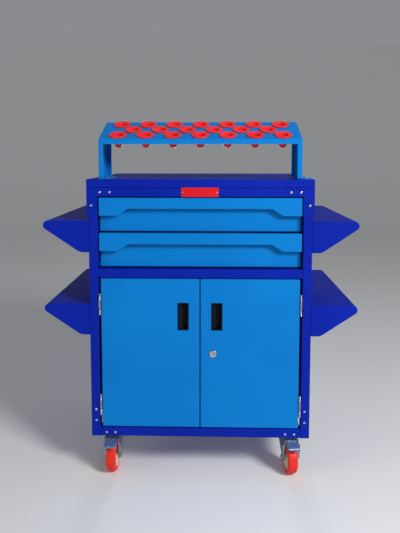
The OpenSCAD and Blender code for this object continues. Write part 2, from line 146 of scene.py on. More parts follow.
studio_floor.data.materials.append(plain_material("pale floor", (0.80, 0.80, 0.80), 0.9))
print("floor:", FLAT_RADIUS, "m to the sweep,", len(floor_faces), "faces")

# %% [markdown]
# ## Sky and lamps
# The cabinet is lit from the front right and above by one large soft lamp, with a weaker one on
# the left, so that its bends catch a thin highlight on their upper and right-hand sides. A dim,
# narrow lamp low behind it keeps the back from going black. Area lamps are used because their
# size alone makes a shadow soft; a sun or a point lamp would cut hard edges. The paints here are
# very saturated, so the plain Standard view is chosen: the filmic ones would wash them out.

# %% Sky and lamps
bpy.context.scene.view_settings.view_transform = "Standard"

sky = bpy.data.worlds.new("studio sky")
sky.use_nodes = True
sky.node_tree.nodes["Background"].inputs["Color"].default_value = (0.86, 0.88, 0.92, 1)
sky.node_tree.nodes["Background"].inputs["Strength"].default_value = 0.3
bpy.context.scene.world = sky


def soft_lamp(name, place, aim, size, power, spread=180):
    lamp_data = bpy.data.lights.new(name, "AREA")
    lamp_data.spread = math.radians(spread)
    lamp_data.size = size
    lamp_data.energy = power
    lamp = bpy.data.objects.new(name, lamp_data)
    lamp.location = place
    lamp.rotation_euler = (Vector(aim) - Vector(place)).to_track_quat("-Z", "Y").to_euler()
    bpy.context.scene.collection.objects.link(lamp)


soft_lamp("key lamp", place=(1.9, -2.2, 2.2), aim=(0.1, 0, 0.35), size=0.8, power=90)
soft_lamp("fill lamp", place=(-3.0, -1.9, 1.0), aim=(0, 0, 0.6), size=1.6, power=21)
soft_lamp("rear lamp", place=(0, 4.2, 0.55), aim=(0, 0, 0.55), size=0.5, power=3.5, spread=26)
print("lamps:", [lamp.name for lamp in bpy.data.lights])

# %% [markdown]
# ## Building blocks for the finishes
# Every finish here is noise, put to work three ways: mixed between two tones for the colour,
# mapped to a narrow band for the roughness, and fed to a bump for the skin. An image texture could
# hold all that, but noise needs no picture and no unwrapping, and it keeps its scale on every part
# because it is read in the object's own metres.

# %% Noise, tones and bump
def new_material(name):
    material = bpy.data.materials.new(name)
    material.use_nodes = True
    tree = material.node_tree
    return material, tree, tree.nodes["Principled BSDF"]


def noise(tree, scale, detail=2.0, stretch=None):
    """A noise field in the object's own metres; stretch squeezes it along an axis."""
    place = tree.nodes.new("ShaderNodeTexCoord")
    field = tree.nodes.new("ShaderNodeTexNoise")
    field.inputs["Scale"].default_value = scale
    field.inputs["Detail"].default_value = detail
    source = place.outputs["Object"]
    if stretch:
        mapping = tree.nodes.new("ShaderNodeMapping")
        mapping.inputs["Scale"].default_value = stretch
        tree.links.new(source, mapping.inputs["Vector"])
        source = mapping.outputs["Vector"]
    tree.links.new(source, field.inputs["Vector"])
    return field.outputs["Fac"]


def spread(tree, value, low, high):
    """Maps the middle of a noise field onto low..high."""
    node = tree.nodes.new("ShaderNodeMapRange")
    node.inputs["From Min"].default_value = 0.3
    node.inputs["From Max"].default_value = 0.7
    node.inputs["To Min"].default_value = low
    node.inputs["To Max"].default_value = high
    tree.links.new(value, node.inputs["Value"])
    return node.outputs["Result"]


def two_tone(tree, value, first, second):
    ramp = tree.nodes.new("ShaderNodeValToRGB")
    ramp.color_ramp.elements[0].position = 0.3
    ramp.color_ramp.elements[1].position = 0.7
    ramp.color_ramp.elements[0].color = (*first, 1)
    ramp.color_ramp.elements[1].color = (*second, 1)
    tree.links.new(value, ramp.inputs["Fac"])
    return ramp.outputs["Color"]


def bump(tree, value, strength, distance, after=None):
    node = tree.nodes.new("ShaderNodeBump")
    node.inputs["Strength"].default_value = strength
    node.inputs["Distance"].default_value = distance
    tree.links.new(value, node.inputs["Height"])
    if after:
        tree.links.new(after, node.inputs["Normal"])
    return node.outputs["Normal"]


print("finishes mix noise in metres, so a grain has one size on every part")

# %% [markdown]
# ## Powder-coat paint
# The cabinet wears two blues of powder coat. Baked powder is never quite flat: it has an
# orange-peel skin a millimetre or two across, its gloss wanders a little, and its shade drifts
# over a panel. One function makes both blues.

# %% Paint
def powder_coat(name, first, second, gloss):
    material, tree, shader = new_material(name)
    tree.links.new(two_tone(tree, noise(tree, 3.5, 3), first, second), shader.inputs["Base Color"])
    tree.links.new(spread(tree, noise(tree, 22, 4), gloss - 0.05, gloss + 0.07), shader.inputs["Roughness"])
    peel = bump(tree, noise(tree, 420, 2), 0.16, 0.0004)
    tree.links.new(bump(tree, noise(tree, 60, 1), 0.05, 0.0008, peel), shader.inputs["Normal"])
    shader.inputs["Specular IOR Level"].default_value = 0.1
    return material


dark_blue = powder_coat("dark blue powder coat", (0.0004, 0.0125, 0.31), (0.0006, 0.016, 0.36), 0.52)
light_blue = powder_coat("light blue powder coat", (0.0005, 0.176, 0.54), (0.0007, 0.198, 0.60), 0.50)
print("paints:", dark_blue.name, "and", light_blue.name)

# %% [markdown]
# ## Plastics and rubber
# The sockets are injection-moulded in red, glossy but with faint sink marks. The pulls are a
# grained black plastic, the wheel centres a cream nylon, and the treads a red polyurethane that
# the floor has scuffed. They differ in how rough they are and in the size of their grain, so one
# function with those two numbers serves them all.

# %% Plastics
def plastic(name, first, second, gloss, grain, depth, patch=9, shine=0.25):
    material, tree, shader = new_material(name)
    tree.links.new(two_tone(tree, noise(tree, patch, 4), first, second), shader.inputs["Base Color"])
    tree.links.new(spread(tree, noise(tree, 70, 3), gloss - 0.06, gloss + 0.08), shader.inputs["Roughness"])
    tree.links.new(bump(tree, noise(tree, grain, 2), 0.2, depth), shader.inputs["Normal"])
    shader.inputs["Specular IOR Level"].default_value = shine
    return material


socket_red = plastic("moulded red plastic", (0.80, 0.016, 0.022), (0.90, 0.028, 0.03), 0.30, 160, 0.0004)
tread_red = plastic("red polyurethane", (0.72, 0.020, 0.010), (0.88, 0.035, 0.018), 0.46, 240, 0.0006, 30)
pull_black = plastic("black plastic", (0.001, 0.003, 0.009), (0.002, 0.005, 0.014), 0.55, 1400, 0.0003,
                     shine=0.12)
hub_cream = plastic("cream nylon", (0.72, 0.63, 0.46), (0.80, 0.72, 0.56), 0.42, 300, 0.0003, 40)
print("plastics:", [m.name for m in (socket_red, tread_red, pull_black, hub_cream)])

# %% [markdown]
# ## Metals
# Zinc plate on the castors, slides and hinges is metal with a cold blue cast and a fine crystal
# spangle; screws and the lock are brighter nickel with hair-fine polishing lines. For metals the
# base colour is the colour of the reflection, and the life of the surface is in its roughness.
# A Voronoi field gives the spangle, because its cells have the sharp borders of crystals.

# %% Metals
def zinc_plate(name, first, second, metallic=1.0):
    material, tree, shader = new_material(name)
    place = tree.nodes.new("ShaderNodeTexCoord")
    cells = tree.nodes.new("ShaderNodeTexVoronoi")
    cells.inputs["Scale"].default_value = 210
    tree.links.new(place.outputs["Object"], cells.inputs["Vector"])
    grey = tree.nodes.new("ShaderNodeRGBToBW")
    tree.links.new(cells.outputs["Color"], grey.inputs["Color"])
    tree.links.new(two_tone(tree, grey.outputs["Val"], first, second), shader.inputs["Base Color"])
    tree.links.new(spread(tree, grey.outputs["Val"], 0.26, 0.36), shader.inputs["Roughness"])
    tree.links.new(bump(tree, noise(tree, 500, 3), 0.15, 0.0002), shader.inputs["Normal"])
    shader.inputs["Metallic"].default_value = metallic
    return material


def polished(name, first, second, gloss, stretch):
    material, tree, shader = new_material(name)
    tree.links.new(two_tone(tree, noise(tree, 90, 2), first, second), shader.inputs["Base Color"])
    lines = noise(tree, 300, 3, stretch)
    tree.links.new(spread(tree, lines, gloss - 0.05, gloss + 0.08), shader.inputs["Roughness"])
    tree.links.new(bump(tree, lines, 0.1, 0.0001), shader.inputs["Normal"])
    shader.inputs["Metallic"].default_value = 1.0
    return material


zinc = zinc_plate("blue-white zinc plate", (0.26, 0.28, 0.35), (0.38, 0.40, 0.48))
zinc_blue = zinc_plate("blue passivated zinc", (0.13, 0.23, 0.45), (0.20, 0.31, 0.54), metallic=0.55)
nickel = polished("bright nickel", (0.52, 0.52, 0.53), (0.62, 0.62, 0.63), 0.24, (1, 1, 6))
plate_red = plastic("red enamel", (0.62, 0.010, 0.018), (0.72, 0.016, 0.026), 0.24, 700, 0.0002)
print("materials so far:", len(bpy.data.materials))

# %% [markdown]
# ## Paint every CAD part
# Each node already has a material slot by name in the record, so a small table from slot to
# material paints all of them in one loop. The CAD corners are perfectly sharp, which no real
# edge is, so each part also gets a Weld, to join its loose faces, and a narrow Bevel. The part's
# own points are left alone: modifiers only change what is drawn.

# %% Paint and soften the CAD parts
slot_material = {
    "dark_blue_paint": dark_blue, "light_blue_paint": light_blue, "red_plastic": socket_red,
    "red_enamel": plate_red, "black_plastic": pull_black, "red_tread": tread_red,
    "cream_plastic": hub_cream, "zinc_plate": zinc, "bright_steel": nickel,
}
slot_of = {part["node"]: part["material_slot"] for part in frame["record"]["subparts"]}


def break_edges(piece, width, sharpest):
    """Bevels every edge that turns more than the given angle."""
    bevel = piece.modifiers.new("broken edges", "BEVEL")
    bevel.width = width
    bevel.segments = 2
    bevel.limit_method = "ANGLE"
    bevel.angle_limit = math.radians(sharpest)


for name, piece in nodes.items():
    piece.data.materials.clear()
    piece.data.materials.append(slot_material[slot_of[name]])
    weld = piece.modifiers.new("join faces", "WELD")
    weld.merge_threshold = 0.01 * MM
    break_edges(piece, 0.5 * MM, 32)
    piece.modifiers.new("even shading", "WEIGHTED_NORMAL")
print("painted", len(nodes), "CAD parts")

# %% [markdown]
# ## Folding sheet metal
# Almost everything here is bent from sheet. A press brake turns a flat blank into a shape with
# rounded outside corners, a constant thickness and open edges, and those three things are what
# makes metal look folded. We draw only the flat outside faces of a part, edge to edge. These
# helpers give the faces that come up again and again: a wall seen from the front or the side, and
# a level sheet.

# %% Flat panels
def front_view(y, points):
    """An upright panel from (x, z) points, given anticlockwise as seen from the front."""
    return [Vector((x, y, z)) for x, z in points]


def side_view(x, points):
    return [Vector((x, y, z)) for y, z in points]


def wall_y(y, x0, x1, z0, z1):
    return front_view(y, [(x0, z0), (x1, z0), (x1, z1), (x0, z1)])


def wall_x(x, y0, y1, z0, z1):
    return side_view(x, [(y0, z0), (y1, z0), (y1, z1), (y0, z1)])


def level(z, x0, x1, y0, y1):
    return [Vector((x0, y0, z)), Vector((x1, y0, z)), Vector((x1, y1, z)), Vector((x0, y1, z))]


print("a level panel has corners", [tuple(corner) for corner in level(0, 0, 1, 0, 1)])

# %% [markdown]
# ## Joining and rounding the folds
# The panels are joined where their edges meet, and every fold between them is rounded. A Solidify
# modifier later gives the sheet its thickness on the inside, and a fine Bevel breaks the cut edges.
# One fold radius keeps the whole cabinet looking as if one machine made it.

# %% Fold and join
def fold_sheet(panels, radius):
    """Joins flat panels into one sheet with rounded folds; the first panel's order sets its outside."""
    outside = (panels[0][1] - panels[0][0]).cross(panels[0][2] - panels[0][1])
    sheet = bmesh.new()
    for corners in panels:
        sheet.faces.new([sheet.verts.new(corner) for corner in corners])
    bmesh.ops.remove_doubles(sheet, verts=sheet.verts, dist=0.00002)
    bmesh.ops.recalc_face_normals(sheet, faces=sheet.faces)
    sheet.faces.ensure_lookup_table()
    if sheet.faces[0].normal.dot(outside) < 0:
        bmesh.ops.reverse_faces(sheet, faces=sheet.faces)
    folds = [e for e in sheet.edges if len(e.link_faces) == 2 and e.calc_face_angle() > math.radians(15)]
    bmesh.ops.bevel(
        sheet, geom=folds, offset=radius, segments=4, profile=0.5, affect="EDGES", clamp_overlap=True,
    )
    return sheet


def joined(parts):
    """One bmesh from several."""
    whole = bmesh.new()
    for part in parts:
        carrier = bpy.data.meshes.new("carrier")
        part.to_mesh(carrier)
        part.free()
        whole.from_mesh(carrier)
        bpy.data.meshes.remove(carrier)
    return whole


print("sheets can be folded and joined")

# %% [markdown]
# ## Standing in for a CAD part
# A rebuilt part has to move with the body of the part that it replaces and wear the same finish.
# One function looks both up from the name of the CAD node, so no piece can end up on the wrong
# body. It also adds the modifiers that every piece shares.

# %% From mesh to finished piece
def as_object(name, mesh):
    """Puts a bmesh into a new object of the scene and frees it."""
    data = bpy.data.meshes.new(name)
    mesh.to_mesh(data)
    mesh.free()
    thing = bpy.data.objects.new(name, data)
    bpy.context.scene.collection.objects.link(thing)
    return thing


def make_piece(name, mesh, stood_for, edge=0.3 * MM, material=None, place=None):
    if place:
        mesh.transform(place)
    piece = as_object(name, mesh)
    piece.data.shade_smooth()
    slot = slot_of[stood_for]
    piece.data.materials.append(material or slot_material[slot])
    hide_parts(stood_for)
    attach(piece, nodes[stood_for]["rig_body"])
    if edge:
        break_edges(piece, edge, 40)
    piece.modifiers.new("even shading", "WEIGHTED_NORMAL")
    return piece


def sheet_piece(name, sheets, thickness, stood_for, edge=0.3 * MM, **more):
    piece = make_piece(name, joined(sheets), stood_for, edge, **more)
    solid = piece.modifiers.new("sheet thickness", "SOLIDIFY")
    solid.thickness = thickness
    solid.offset = -1
    solid.use_even_offset = True
    piece.modifiers.move(len(piece.modifiers) - 1, 0)
    return piece


FRAME_SHEET = 2.0 * MM
THIN_SHEET = 1.5 * MM
FOLD = 3.0 * MM
print("sheets", FRAME_SHEET / MM, "and", THIN_SHEET / MM, "mm thick, folds", FOLD / MM, "mm")

# %% [markdown]
# ## Worktop cover and the three rails
# The worktop is a shallow lid: one sheet with its four edges turned down and the corners closed,
# so all its folds meet in softly rounded corners. Below it the top rail carries two lugs that cap
# the front posts, with a return on the outer side and a lip below. It stops a hair short of the
# lid, which leaves the dark seam that shows between the two. The middle and bottom rails are plain
# channels with the web to the front. A channel is quicker drawn as three panels than cut from a
# block, and its fold lines catch the light just as on the real rail.

# %% Worktop and rails
low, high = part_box("top_cover")
lid = [
    level(high.z, low.x, high.x, low.y, high.y),
    wall_y(low.y, low.x, high.x, low.z, high.z), wall_y(high.y, low.x, high.x, low.z, high.z),
    wall_x(low.x, low.y, high.y, low.z, high.z), wall_x(high.x, low.y, high.y, low.z, high.z),
]
sheet_piece("worktop_lid", [fold_sheet(lid, FOLD)], FRAME_SHEET, "top_cover")

SEAM = 1.3 * MM
LUG_WIDTH = 34 * MM
RAIL_HEIGHT = 28 * MM
RAIL_FOLD = 2.4 * MM
low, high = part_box("top_rail")
high.z -= SEAM
rail_z = high.z + SEAM - RAIL_HEIGHT
lug_x = high.x - LUG_WIDTH
outline = [
    (-high.x, low.z), (-lug_x, low.z), (-lug_x, rail_z), (lug_x, rail_z), (lug_x, low.z),
    (high.x, low.z), (high.x, high.z), (-high.x, high.z),
]
rail = [front_view(low.y, outline), level(rail_z, -lug_x, lug_x, low.y, high.y)]
rail += [wall_x(x, low.y, high.y, low.z, high.z) for x in (-high.x, high.x)]
sheet_piece("top_rail_sheet", [fold_sheet(rail, RAIL_FOLD)], FRAME_SHEET, "top_rail")

for node in ("middle_rail", "bottom_rail"):
    low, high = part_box(node)
    channel = [
        wall_y(low.y, low.x, high.x, low.z, high.z),
        level(high.z, low.x, high.x, low.y, high.y), level(low.z, low.x, high.x, low.y, high.y),
    ]
    sheet_piece(node + "_channel", [fold_sheet(channel, FOLD)], FRAME_SHEET, node)
print("worktop and rails folded")

# %% [markdown]
# ## Corner posts
# Each post is a square tube. A drawn tube has rounded long corners and open ends, so four walls
# joined in a ring are enough. Both posts of a pair belong to one CAD node, so they are folded
# separately and joined.

# %% Posts
POST_SIDE = 28 * MM


def tube(x0, x1, y0, y1, z0, z1):
    return [
        wall_y(y0, x0, x1, z0, z1), wall_x(x1, y0, y1, z0, z1),
        wall_y(y1, x0, x1, z0, z1), wall_x(x0, y0, y1, z0, z1),
    ]


for node in ("front_posts", "rear_posts"):
    low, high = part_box(node)
    pair = [
        fold_sheet(tube(x0, x0 + POST_SIDE, low.y, high.y, low.z, high.z), FOLD)
        for x0 in (low.x, high.x - POST_SIDE)
    ]
    sheet_piece(node + "_tubes", pair, THIN_SHEET, node)
print("four posts drawn")

# %% [markdown]
# ## Arcs
# Rolled edges, socket rims, fork feet and pedal lips are all parts of circles. One helper gives
# their points, as plain pairs of numbers, so that it serves front views, side views and profiles.

# %% An arc of points
def arc(cx, cy, radius, start, end, steps):
    angles = [math.radians(start + (end - start) * i / steps) for i in range(steps + 1)]
    return [(cx + radius * math.cos(a), cy + radius * math.sin(a)) for a in angles]


print("a quarter arc in 2 steps:", [(round(x, 2), round(y, 2)) for x, y in arc(0, 0, 1, 0, 90, 2)])

# %% [markdown]
# ## Side shelves
# A side shelf is a closed top whose ends are turned down into tapering cheeks, and whose outer
# edge is rolled over a bar. The cheek's outline is one line with two arcs in it: the nose at the
# top and a wide curve at the foot. The strips of the rolled edge use the same arc points as the
# cheeks, so that the sheet closes without a seam.

# %% Shelves
NOSE_RADIUS = 14 * MM
SHELF_SLOPE = 34
FOOT_RADIUS = 36 * MM
NOSE_STEPS = 12
FOOT_STEPS = 6
ROLLED_STEPS = 8


def shelf_sheet(node, side):
    low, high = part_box(node)
    wall = min(abs(low.x), abs(high.x))
    reach = max(abs(low.x), abs(high.x)) - wall
    nose = arc(reach - NOSE_RADIUS, high.z - NOSE_RADIUS, NOSE_RADIUS, 90, SHELF_SLOPE - 90, NOSE_STEPS)
    slope = math.radians(SHELF_SLOPE)
    foot = nose[-1][0] - (nose[-1][1] - low.z) / math.tan(slope) - FOOT_RADIUS * math.tan(slope / 2)
    foot_curve = arc(foot, low.z + FOOT_RADIUS, FOOT_RADIUS, SHELF_SLOPE - 90, -90, FOOT_STEPS)
    cheek = [(0, high.z)] + nose + foot_curve + [(0, low.z)]

    def at(out, y, z):
        return Vector((side * (wall + out), y, z))

    flat = nose[0][0]
    top = [at(0, low.y, high.z), at(flat, low.y, high.z), at(flat, high.y, high.z), at(0, high.y, high.z)]
    panels = [top if side > 0 else top[::-1]]
    panels += [[at(out, y, z) for out, z in cheek] for y in (low.y, high.y)]
    for (a, za), (b, zb) in zip(nose[:ROLLED_STEPS], nose[1:]):
        panels.append([at(a, low.y, za), at(b, low.y, zb), at(b, high.y, zb), at(a, high.y, za)])
    panels.append([at(0, low.y, low.z), at(0, high.y, low.z), at(0, high.y, high.z), at(0, low.y, high.z)])
    return fold_sheet(panels, FOLD)


for node in ("upper_left_shelf", "lower_left_shelf", "upper_right_shelf", "lower_right_shelf"):
    side = -1 if "left" in node else 1
    sheet_piece(node + "_sheet", [shelf_sheet(node, side)], THIN_SHEET, node)
print("four side shelves folded")

# %% [markdown]
# ## Tool rack
# The rack is one long sheet: a foot, a leg, the sloping plate, and a leg and a foot again, with
# narrow lips turned in all round. The left foot is turned inwards and the right one outwards. Its
# holes are punched, so they are cut last, by a Boolean with one drum for each socket. Drawing
# twenty round holes into the plate by hand would be long, and a Boolean leaves the same clean
# edge as a punch.

# %% Rack
rack_low, rack_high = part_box("tool_rack")
RACK_FRONT_HEIGHT = 122 * MM
RACK_FOLD = 3.6 * MM
LIP = 15 * MM
FOOT = 35 * MM
FOOT_INSET = 5 * MM
rack_x = -rack_low.x
front_top = top_z + RACK_FRONT_HEIGHT
back_top = rack_high.z
tilt = math.atan((back_top - front_top) / (rack_high.y - rack_low.y))


def rack_face(y, z_top, z_left, z_right):
    inner = rack_x - LIP
    return front_view(y, [
        (-rack_x, z_left), (-inner, z_left), (-inner, z_top - LIP), (inner, z_top - LIP), (inner, z_right),
        (rack_x, z_right), (rack_x, z_top), (-rack_x, z_top),
    ])


def rack_leg(x, z):
    y0, y1 = rack_low.y, rack_high.y
    outline = [(y0, z), (y0 + FOOT_INSET, z), (y1 - FOOT_INSET, z), (y1, z), (y1, back_top), (y0, front_top)]
    return side_view(x, outline)


right_z = top_z + FRAME_SHEET
foot_span = (rack_low.y + FOOT_INSET, rack_high.y - FOOT_INSET)
plate = [
    Vector((-rack_x, rack_low.y, front_top)), Vector((rack_x, rack_low.y, front_top)),
    Vector((rack_x, rack_high.y, back_top)), Vector((-rack_x, rack_high.y, back_top)),
]
rack_panels = [
    plate, rack_face(rack_low.y, front_top, top_z, right_z), rack_face(rack_high.y, back_top, top_z, right_z),
    rack_leg(-rack_x, top_z), rack_leg(rack_x, right_z),
    level(top_z, -rack_x, FOOT - rack_x, *foot_span),
    level(right_z, rack_x, rack_x + FOOT - FRAME_SHEET, *foot_span),
]
rack = sheet_piece("tool_rack_sheet", [fold_sheet(rack_panels, RACK_FOLD)], FRAME_SHEET, "tool_rack")
print("rack folded, its plate tilted", round(math.degrees(tilt), 1), "degrees")

# %% [markdown]
# ## Where the sockets sit
# Seven, six and seven sockets stand in three staggered rows. Each gets a matrix that carries it
# from the origin to its place on the slope: first up the slope, then tilted with the plate. The
# same matrices place the drums that punch the holes and, later, the sockets.

# %% Socket places
SOCKET_PITCH = 85.2 * MM
FIRST_ROW = 31 * MM
ROW_PITCH = 46 * MM
slope_frame = Matrix.Translation((0, rack_low.y, front_top)) @ Matrix.Rotation(tilt, 4, "X")
socket_places = []
for row, count in enumerate((7, 6, 7)):
    for i in range(count):
        x = (i - (count - 1) / 2) * SOCKET_PITCH
        socket_places.append(slope_frame @ Matrix.Translation((x, FIRST_ROW + row * ROW_PITCH, 0)))


print(len(socket_places), "sockets in three rows")

# %% [markdown]
# ## Turned and lofted shapes
# Sockets, wheels, bolts and pulls are all one idea: a row of outlines with the same number of
# points, skinned from one to the next. When the outlines are circles, the shape looks turned on a
# lathe. Blender's Screw modifier turns a profile too, but a plain mesh can be moved, joined and
# cut right away.

# %% Loft and lathe
def circle(radius, height, steps):
    turns = [2 * math.pi * i / steps for i in range(steps)]
    return [Vector((radius * math.cos(a), radius * math.sin(a), height)) for a in turns]


def loft(rings, closed=False):
    """Skins a row of outlines that have the same number of points, and caps both ends."""
    mesh = bmesh.new()
    loops = [[mesh.verts.new(point) for point in ring] for ring in rings]
    if closed:
        loops.append(loops[0])
    for one, two in zip(loops, loops[1:]):
        for i in range(len(one)):
            j = (i + 1) % len(one)
            mesh.faces.new((one[i], one[j], two[j], two[i]))
    if not closed:
        mesh.faces.new(loops[0])
        mesh.faces.new(loops[-1])
    bmesh.ops.remove_doubles(mesh, verts=mesh.verts, dist=0.000005)
    bmesh.ops.recalc_face_normals(mesh, faces=mesh.faces)
    return mesh


def lathe(profile, steps=48, place=None, closed=False):
    """Turns (radius, height) points about Z, then moves the result into place."""
    mesh = loft([circle(max(radius, 0), height, steps) for radius, height in profile], closed)
    if place:
        mesh.transform(place)
    return mesh


print("a lathe of 48 steps turns in", 360 / 48, "degree steps")

# %% [markdown]
# ## Punching the holes
# The cut is made by a Boolean and then baked into the piece's own mesh, so no cutter has to stay
# in the scene. The bevels are switched off while it is baked, or they would be applied twice.

# %% Punch the rack
def cut(piece, cutter_mesh):
    """Cuts a mesh out of a piece and keeps the result as the piece's own mesh."""
    cutter = as_object("cutter", cutter_mesh)
    saw = piece.modifiers.new("cut", "BOOLEAN")
    saw.object = cutter
    saw.solver = "EXACT"
    later = [m for m in piece.modifiers if m.type in ("BEVEL", "WEIGHTED_NORMAL")]
    for modifier in later:
        modifier.show_viewport = False
    cut_mesh = bpy.data.meshes.new_from_object(piece.evaluated_get(bpy.context.evaluated_depsgraph_get()))
    for modifier in [m for m in piece.modifiers if m not in later]:
        piece.modifiers.remove(modifier)
    for modifier in later:
        modifier.show_viewport = True
    piece.data = cut_mesh
    bpy.data.objects.remove(cutter)


HOLE_RADIUS = 22 * MM
DRUM_HALF = 10 * MM
drums = [lathe([(HOLE_RADIUS, -DRUM_HALF), (HOLE_RADIUS, DRUM_HALF)], 48, place) for place in socket_places]
cut(rack, joined(drums))
print("rack punched with", len(socket_places), "holes")

# %% [markdown]
# ## Tool sockets
# Each socket is a turned shape: a flange with a rolled rim, a shallow dish, a taper that a tool
# holder drops into, and a rounded closed end below the plate. A lathe-like sweep of one outline
# gives all of it in one closed mesh. The four at the rack's corners are a CAD node of their own.

# %% Sockets
def socket_outline():
    """(radius, height) from the closed end, up the outside, over the rim and down the taper."""
    closed_end = arc(0, -28, 12, -90, 0, 7)
    outside = [(12.2, -20), (21.9, -5), (21.9, 0), (27.4, 0)]
    rim = arc(25.7, 2.3, 1.7, 0, 150, 6)
    mouth = [(23.8, 2.9)] + arc(17.2, 1.7, 1.2, 90, 170, 3)
    taper = [(9, -31), (6, -35), (0, -36)]
    return [(radius * MM, height * MM) for radius, height in closed_end + outside + rim + mouth + taper]


CORNER_X = 2.9 * SOCKET_PITCH
corner_places = [place for place in socket_places if abs(place.translation.x) > CORNER_X]
other_places = [place for place in socket_places if abs(place.translation.x) < CORNER_X]
for node, places in (("corner_sockets", corner_places), ("tool_sockets", other_places)):
    mouldings = joined([lathe(socket_outline(), 44, place) for place in places])
    make_piece(node + "_mouldings", mouldings, node, edge=0)
    print(node, len(places))

# %% [markdown]
# ## Rounded outlines
# A laser cuts a sheet's outline with a small radius at each corner. A Bevel could round them later,
# but it would round every corner alike, so the outline itself is drawn with the right radii.

# %% Rounded outlines
def rounded(points, radii, steps=4):
    """The outline with each corner rounded by its own radius; a radius of 0 keeps the corner."""
    result = []
    for i, radius in enumerate(radii):
        corner = Vector((*points[i], 0))
        if not radius:
            result.append(points[i])
            continue
        back = (Vector((*points[i - 1], 0)) - corner).normalized()
        ahead = (Vector((*points[(i + 1) % len(points)], 0)) - corner).normalized()
        half = back.angle(ahead) / 2
        centre = corner + (back + ahead).normalized() * radius / math.sin(half)
        start = (corner + back * radius / math.tan(half) - centre).normalized()
        end = (corner + ahead * radius / math.tan(half) - centre).normalized()
        for k in range(steps + 1):
            point = centre + start.slerp(end, k / steps) * radius
            result.append((point.x, point.y))
    return result


square = rounded([(0, 0), (1, 0), (1, 1), (0, 1)], [0.2, 0, 0, 0])
print("a square with one round corner has", len(square), "points")

# %% [markdown]
# ## Drawer fronts
# A drawer front is one sheet again. A full-width band stands forward of the panel and serves as
# the handle: its lower edge is cut away in the middle for the fingers. From the band's top edge
# the sheet turns back and then down to make the panel, and two end flanges close the box.

# %% Drawer fronts
BAND_MIDDLE = 34 * MM
BAND_END = 55.5 * MM
BAND_LUG = 58 * MM
BAND_SLOPE = 33 * MM
CUT_RADIUS = 10 * MM
LOW_RADIUS = 22 * MM

for node in ("upper_drawer_front", "lower_drawer_front"):
    low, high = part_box(node)
    end_z = high.z - BAND_END
    middle_z = high.z - BAND_MIDDLE
    end_x = high.x - BAND_LUG
    middle_x = end_x - BAND_SLOPE
    corners = [
        (-high.x, end_z), (-end_x, end_z), (-middle_x, middle_z), (middle_x, middle_z), (end_x, end_z),
        (high.x, end_z), (high.x, high.z), (-high.x, high.z),
    ]
    radii = [0, LOW_RADIUS, CUT_RADIUS, CUT_RADIUS, LOW_RADIUS, 0, 0, 0]
    panel = [
        (-high.x, low.z), (high.x, low.z), (high.x, end_z),
        (high.x, high.z), (-high.x, high.z), (-high.x, end_z),
    ]
    front = [front_view(low.y, rounded(corners, radii)), level(high.z, low.x, high.x, low.y, high.y)]
    front += [front_view(high.y, panel)]
    front += [wall_x(x, low.y, high.y, end_z, high.z) for x in (low.x, high.x)]
    sheet_piece(node + "_sheet", [fold_sheet(front, FOLD)], THIN_SHEET, node)
print("two drawer fronts folded")

# %% [markdown]
# ## Drawer boxes
# Behind each front sits an open tray. It is folded like the worktop, upside down, so the same five
# panels make it.

# %% Trays
for node in ("upper_drawer_box", "lower_drawer_box"):
    low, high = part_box(node)
    tray = [
        wall_y(low.y, low.x, high.x, low.z, high.z), wall_y(high.y, low.x, high.x, low.z, high.z),
        wall_x(low.x, low.y, high.y, low.z, high.z), wall_x(high.x, low.y, high.y, low.z, high.z),
        level(low.z, low.x, high.x, low.y, high.y),
    ]
    sheet_piece(node + "_tray", [fold_sheet(tray, FOLD)], THIN_SHEET, node)
print("two trays folded")

# %% [markdown]
# ## Telescopic slides
# Beside each tray run three nested C-shaped members, each rolled from strip. A member is a web with
# two turned edges; the outer one opens towards the drawer and the inner one towards the post, so
# that the balls run between them. A member's height is known, so its level is read from the CAD
# node's points: it starts wherever another point lies exactly that much higher.

# %% Slides
STRIP = 1.1 * MM
STRIP_FOLD = 1.2 * MM
SETBACK = 8 * MM
SLIDE_HEIGHTS = {"outer": 45 * MM, "middle": 36 * MM, "inner": 28 * MM}
SLIDE_DEPTHS = {"outer": 4 * MM, "middle": 4.2 * MM, "inner": 4 * MM}


def slide_member(x_web, x_open, y0, y1, z0, z1):
    web = wall_x(x_web, y0, y1, z0, z1)
    if x_web < x_open:
        web = web[::-1]
    return [web] + [level(z, min(x_web, x_open), max(x_web, x_open), y0, y1) for z in (z0, z1)]


def slide_sheets(node, depth, height, web_outside):
    low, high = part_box(node)
    sheets = []
    tops = sorted({round(v.co.z, 4) for v in nodes[node].data.vertices if v.co.x > 0})
    for z0 in [z for z in tops if round(z + height, 4) in tops]:
        for side in (-1, 1):
            outer, inner = side * high.x, side * (high.x - depth)
            web, opening = (outer, inner) if web_outside else (inner, outer)
            member = slide_member(web, opening, low.y + SETBACK, high.y, z0, z0 + height)
            sheets.append(fold_sheet(member, STRIP_FOLD))
    return sheets


slide_nodes = [("slide_outer_rails", "outer")]
for drawer in ("upper", "lower"):
    slide_nodes += [(drawer + "_slide_middles", "middle"), (drawer + "_slide_inners", "inner")]
for node, member in slide_nodes:
    sheets = slide_sheets(node, SLIDE_DEPTHS[member], SLIDE_HEIGHTS[member], web_outside=member != "inner")
    sheet_piece(node + "_strip", sheets, STRIP, node, edge=0.2 * MM)
print("slides:", [node for node, member in slide_nodes])

# %% [markdown]
# ## Doors
# A door is a pan: a skin with four edges turned back and a lip turned in all round, which keeps
# it stiff. The skin is drawn as a ring of four panels around the slot for the pull, because a flat
# face in Blender can't hold a hole. The panels of a ring lie in one plane, so no fold is made
# between them and the seam doesn't show.

# %% Door pans
DOOR_LIP = 15 * MM
SLOT_INSET = 2 * MM


